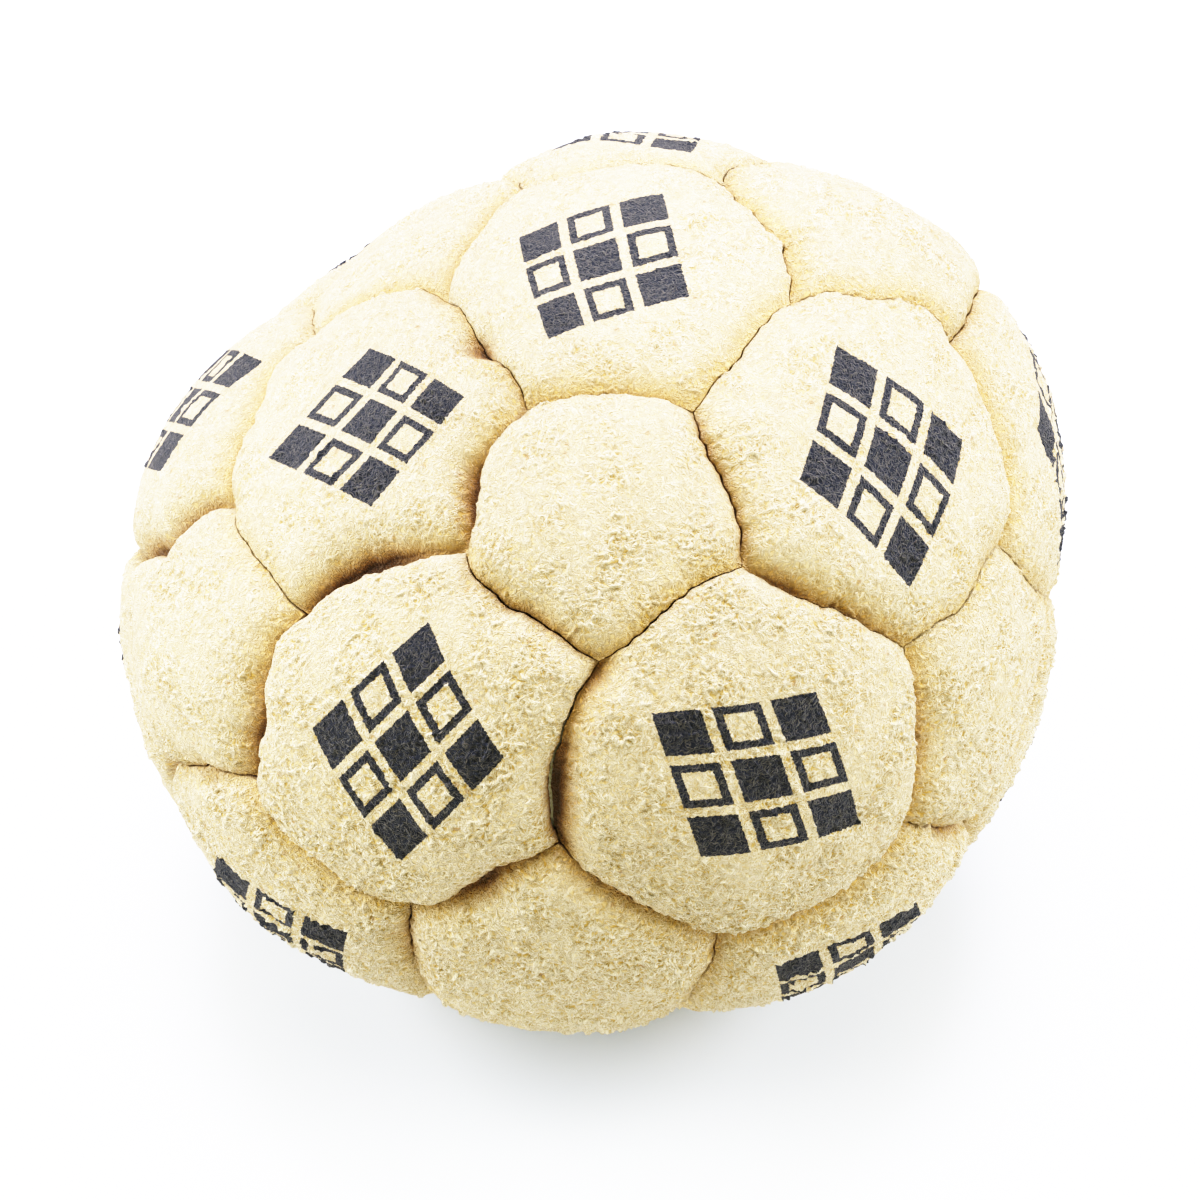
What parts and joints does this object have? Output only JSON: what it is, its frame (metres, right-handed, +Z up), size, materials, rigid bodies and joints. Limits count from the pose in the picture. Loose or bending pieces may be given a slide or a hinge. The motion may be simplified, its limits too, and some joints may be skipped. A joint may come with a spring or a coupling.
{
  "type": "weighted ball",
  "caption": "Small hand-sewn weighted ball of suede hexagon and pentagon panels with turned-in seams over a cotton pouch of loose granules, slumped at rest on one flat panel.",
  "frame": {"origin": "on the floor, under the middle of the ball's outline", "axes": "+Z up from the panel it rests on; -Y towards the side that the picture shows; +X to the right of that view"},
  "size_m": [0.069, 0.0682, 0.0569],
  "materials": {
    "printed_suede": "matte",
    "suede": "matte",
    "thread": "matte",
    "cotton": "matte",
    "granules": "matte"
  },
  "bodies": {
    "root": {"hex_panel_01": "printed_suede", "hex_panel_02": "printed_suede", "hex_panel_03": "printed_suede", "hex_panel_04": "printed_suede", "hex_panel_05": "printed_suede", "hex_panel_06": "printed_suede", "hex_panel_07": "printed_suede", "hex_panel_08": "printed_suede", "hex_panel_09": "printed_suede", "hex_panel_10": "printed_suede", "hex_panel_11": "printed_suede", "hex_panel_12": "printed_suede", "hex_panel_13": "printed_suede", "hex_panel_14": "printed_suede", "hex_panel_15": "printed_suede", "hex_panel_16": "printed_suede", "hex_panel_17": "printed_suede", "hex_panel_18": "printed_suede", "hex_panel_19": "printed_suede", "hex_panel_20": "printed_suede", "pent_panel_01": "suede", "pent_panel_02": "suede", "pent_panel_03": "suede", "pent_panel_04": "suede", "pent_panel_05": "suede", "pent_panel_06": "suede", "pent_panel_07": "suede", "pent_panel_08": "suede", "pent_panel_09": "suede", "pent_panel_10": "suede", "pent_panel_11": "suede", "pent_panel_12": "suede", "seam_thread": "thread", "inner_pouch": "cotton", "pouch_lacing": "thread", "granule_fill": "granules"}
  },
  "joints": []
}
